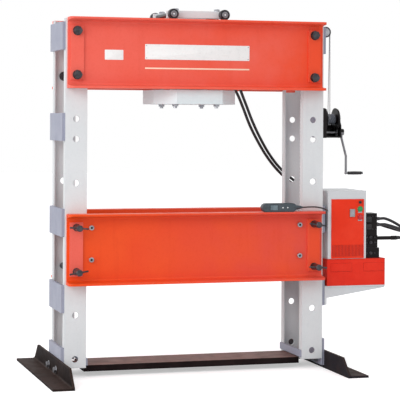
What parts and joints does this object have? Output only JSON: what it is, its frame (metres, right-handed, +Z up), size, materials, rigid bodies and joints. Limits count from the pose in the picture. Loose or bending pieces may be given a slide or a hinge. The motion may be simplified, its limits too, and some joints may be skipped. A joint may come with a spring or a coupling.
{
  "type": "electro-hydraulic press",
  "caption": "Floor-standing H-frame workshop press with a rolling hydraulic head, a pinned channel bed, a hand winch and an electric pump with a pendant.",
  "frame": {"origin": "on the floor, midway between the two uprights and between the front and rear channels", "axes": "+X to the right, where the pump and winch are; +Y to the back; +Z up"},
  "size_m": [2.388, 1.08, 2.0043],
  "materials": {
    "grey_paint": "satin",
    "tie_plate_paint": "satin",
    "red_paint": "satin",
    "foot_paint": "satin",
    "dark_steel": "satin",
    "bright_steel": "satin",
    "black_rubber": "matte",
    "black_paint": "satin",
    "black_plastic": "matte",
    "green_plastic": "gloss",
    "red_plastic": "gloss",
    "pendant_plastic": "matte"
  },
  "bodies": {
    "frame": {"left_upright": "grey_paint", "right_upright": "grey_paint", "left_tie_plates": "tie_plate_paint", "right_tie_plates": "tie_plate_paint", "base_member": "foot_paint", "left_foot": "foot_paint", "right_foot": "foot_paint", "foot_bolts": "dark_steel", "upper_front_channel": "red_paint", "upper_rear_channel": "red_paint", "upper_diaphragms": "red_paint", "bearing_plates": "red_paint", "bolster_bolts": "dark_steel", "bed_front_channel": "red_paint", "bed_rear_channel": "red_paint", "bed_spacers": "red_paint", "hose_fittings": "bright_steel", "advance_hose": "black_rubber", "retract_hose": "black_rubber", "lift_fittings": "dark_steel", "lifting_ropes": "bright_steel", "winch_frame": "dark_steel", "pump_bracket": "grey_paint", "oil_tank": "red_paint", "motor_housing": "grey_paint", "front_panel": "red_paint", "panel_trim": "bright_steel", "valve_block": "black_paint", "pump_motor": "black_paint", "power_cable": "black_rubber", "cable_coil": "black_rubber", "power_plug": "black_rubber", "pendant_body": "pendant_plastic", "pendant_cord": "black_rubber"},
    "carriage": {"carriage_frame": "grey_paint", "head_plate": "grey_paint", "hanger_studs": "bright_steel", "cylinder_body": "grey_paint", "cylinder_gland": "bright_steel"},
    "ram": {"ram": "bright_steel"},
    "crank": {"winch_crank": "dark_steel"},
    "grip": {"crank_grip": "black_rubber"},
    "drum": {"winch_drum": "dark_steel", "drum_rope": "bright_steel"},
    "outer_sheave": {"outer_sheave": "dark_steel"},
    "right_sheave": {"right_sheave": "dark_steel"},
    "left_sheave": {"left_sheave": "dark_steel"},
    "key": {"key_switch": "dark_steel"},
    "start_button": {"start_button": "green_plastic"},
    "stop_button": {"stop_button": "red_plastic"},
    "relief_knob": {"relief_knob": "black_plastic"},
    "rocker": {"pendant_rocker": "pendant_plastic"},
    "wheel_front_left": {"wheel_front_left": "dark_steel"},
    "wheel_front_right": {"wheel_front_right": "dark_steel"},
    "wheel_rear_left": {"wheel_rear_left": "dark_steel"},
    "wheel_rear_right": {"wheel_rear_right": "dark_steel"},
    "pin_upper_left": {"pin_upper_left": "dark_steel"},
    "pin_upper_right": {"pin_upper_right": "dark_steel"},
    "pin_lower_left": {"pin_lower_left": "dark_steel"},
    "pin_lower_right": {"pin_lower_right": "dark_steel"}
  },
  "joints": [
    {"name": "head_slide", "type": "slide", "parent": "frame", "child": "carriage", "axis": [1, 0, 0], "range_m": [-0.36, 0.36], "deforming": ["advance_hose", "retract_hose"]},
    {"name": "ram_slide", "type": "slide", "parent": "carriage", "child": "ram", "axis": [0, 0, -1], "range_m": [0, 0.245]},
    {"name": "wheel_front_left_spin", "type": "hinge", "parent": "carriage", "child": "wheel_front_left", "pos_m": [-0.146, -0.192, 1.9698], "axis": [0, 1, 0], "continuous": true},
    {"name": "wheel_front_right_spin", "type": "hinge", "parent": "carriage", "child": "wheel_front_right", "pos_m": [0.146, -0.192, 1.9698], "axis": [0, 1, 0], "continuous": true},
    {"name": "wheel_rear_left_spin", "type": "hinge", "parent": "carriage", "child": "wheel_rear_left", "pos_m": [-0.146, 0.192, 1.9698], "axis": [0, 1, 0], "continuous": true},
    {"name": "wheel_rear_right_spin", "type": "hinge", "parent": "carriage", "child": "wheel_rear_right", "pos_m": [0.146, 0.192, 1.9698], "axis": [0, 1, 0], "continuous": true},
    {"name": "pin_upper_left_slide", "type": "slide", "parent": "frame", "child": "pin_upper_left", "axis": [0, -1, 0], "range_m": [0, 0.42]},
    {"name": "pin_upper_right_slide", "type": "slide", "parent": "frame", "child": "pin_upper_right", "axis": [0, -1, 0], "range_m": [0, 0.42]},
    {"name": "pin_lower_left_slide", "type": "slide", "parent": "frame", "child": "pin_lower_left", "axis": [0, -1, 0], "range_m": [0, 0.42]},
    {"name": "pin_lower_right_slide", "type": "slide", "parent": "frame", "child": "pin_lower_right", "axis": [0, -1, 0], "range_m": [0, 0.42]},
    {"name": "crank_turn", "type": "hinge", "parent": "frame", "child": "crank", "pos_m": [0.904, -0.019, 1.3232], "axis": [1, 0, 0], "continuous": true},
    {"name": "drum_turn", "type": "hinge", "parent": "frame", "child": "drum", "pos_m": [0.804, -0.019, 1.4], "axis": [1, 0, 0], "continuous": true},
    {"name": "grip_turn", "type": "hinge", "parent": "crank", "child": "grip", "pos_m": [0.987, -0.019, 1.0912], "axis": [1, 0, 0], "continuous": true},
    {"name": "outer_sheave_turn", "type": "hinge", "parent": "frame", "child": "outer_sheave", "pos_m": [0.791, -0.06, 1.896], "axis": [0, 1, 0], "continuous": true},
    {"name": "right_sheave_turn", "type": "hinge", "parent": "frame", "child": "right_sheave", "pos_m": [0.672, -0.055, 1.896], "axis": [0, 1, 0], "continuous": true},
    {"name": "left_sheave_turn", "type": "hinge", "parent": "frame", "child": "left_sheave", "pos_m": [-0.682, -0.065, 1.896], "axis": [0, 1, 0], "continuous": true},
    {"name": "key_turn", "type": "hinge", "parent": "frame", "child": "key", "pos_m": [0.964, -0.169, 0.931], "axis": [0, 1, 0], "range_deg": [0, 90]},
    {"name": "start_press", "type": "slide", "parent": "frame", "child": "start_button", "axis": [0, 1, 0], "range_m": [0, 0.004], "stiffness_N_per_m": 400, "springref_m": -0.002},
    {"name": "stop_press", "type": "slide", "parent": "frame", "child": "stop_button", "axis": [0, 1, 0], "range_m": [0, 0.004], "stiffness_N_per_m": 400, "springref_m": -0.002},
    {"name": "relief_turn", "type": "hinge", "parent": "frame", "child": "relief_knob", "pos_m": [1.097, -0.108, 0.648], "axis": [1, 0, 0], "range_deg": [-180, 180]},
    {"name": "rocker_tilt", "type": "hinge", "parent": "frame", "child": "rocker", "pos_m": [0.42, -0.2495, 0.91], "axis": [0, 0, 1], "range_deg": [-8, 8], "stiffness_Nm_per_rad": 0.4}
  ],
  "couplings": [
    {"joint": "wheel_front_left_spin", "follows": "head_slide", "rad_per_m": 34.483},
    {"joint": "wheel_front_right_spin", "follows": "head_slide", "rad_per_m": 34.483},
    {"joint": "wheel_rear_left_spin", "follows": "head_slide", "rad_per_m": 34.483},
    {"joint": "wheel_rear_right_spin", "follows": "head_slide", "rad_per_m": 34.483},
    {"joint": "drum_turn", "follows": "crank_turn", "ratio": -0.3421},
    {"joint": "outer_sheave_turn", "follows": "crank_turn", "ratio": -0.35478},
    {"joint": "right_sheave_turn", "follows": "crank_turn", "ratio": -0.35478},
    {"joint": "left_sheave_turn", "follows": "crank_turn", "ratio": -0.35478}
  ]
}
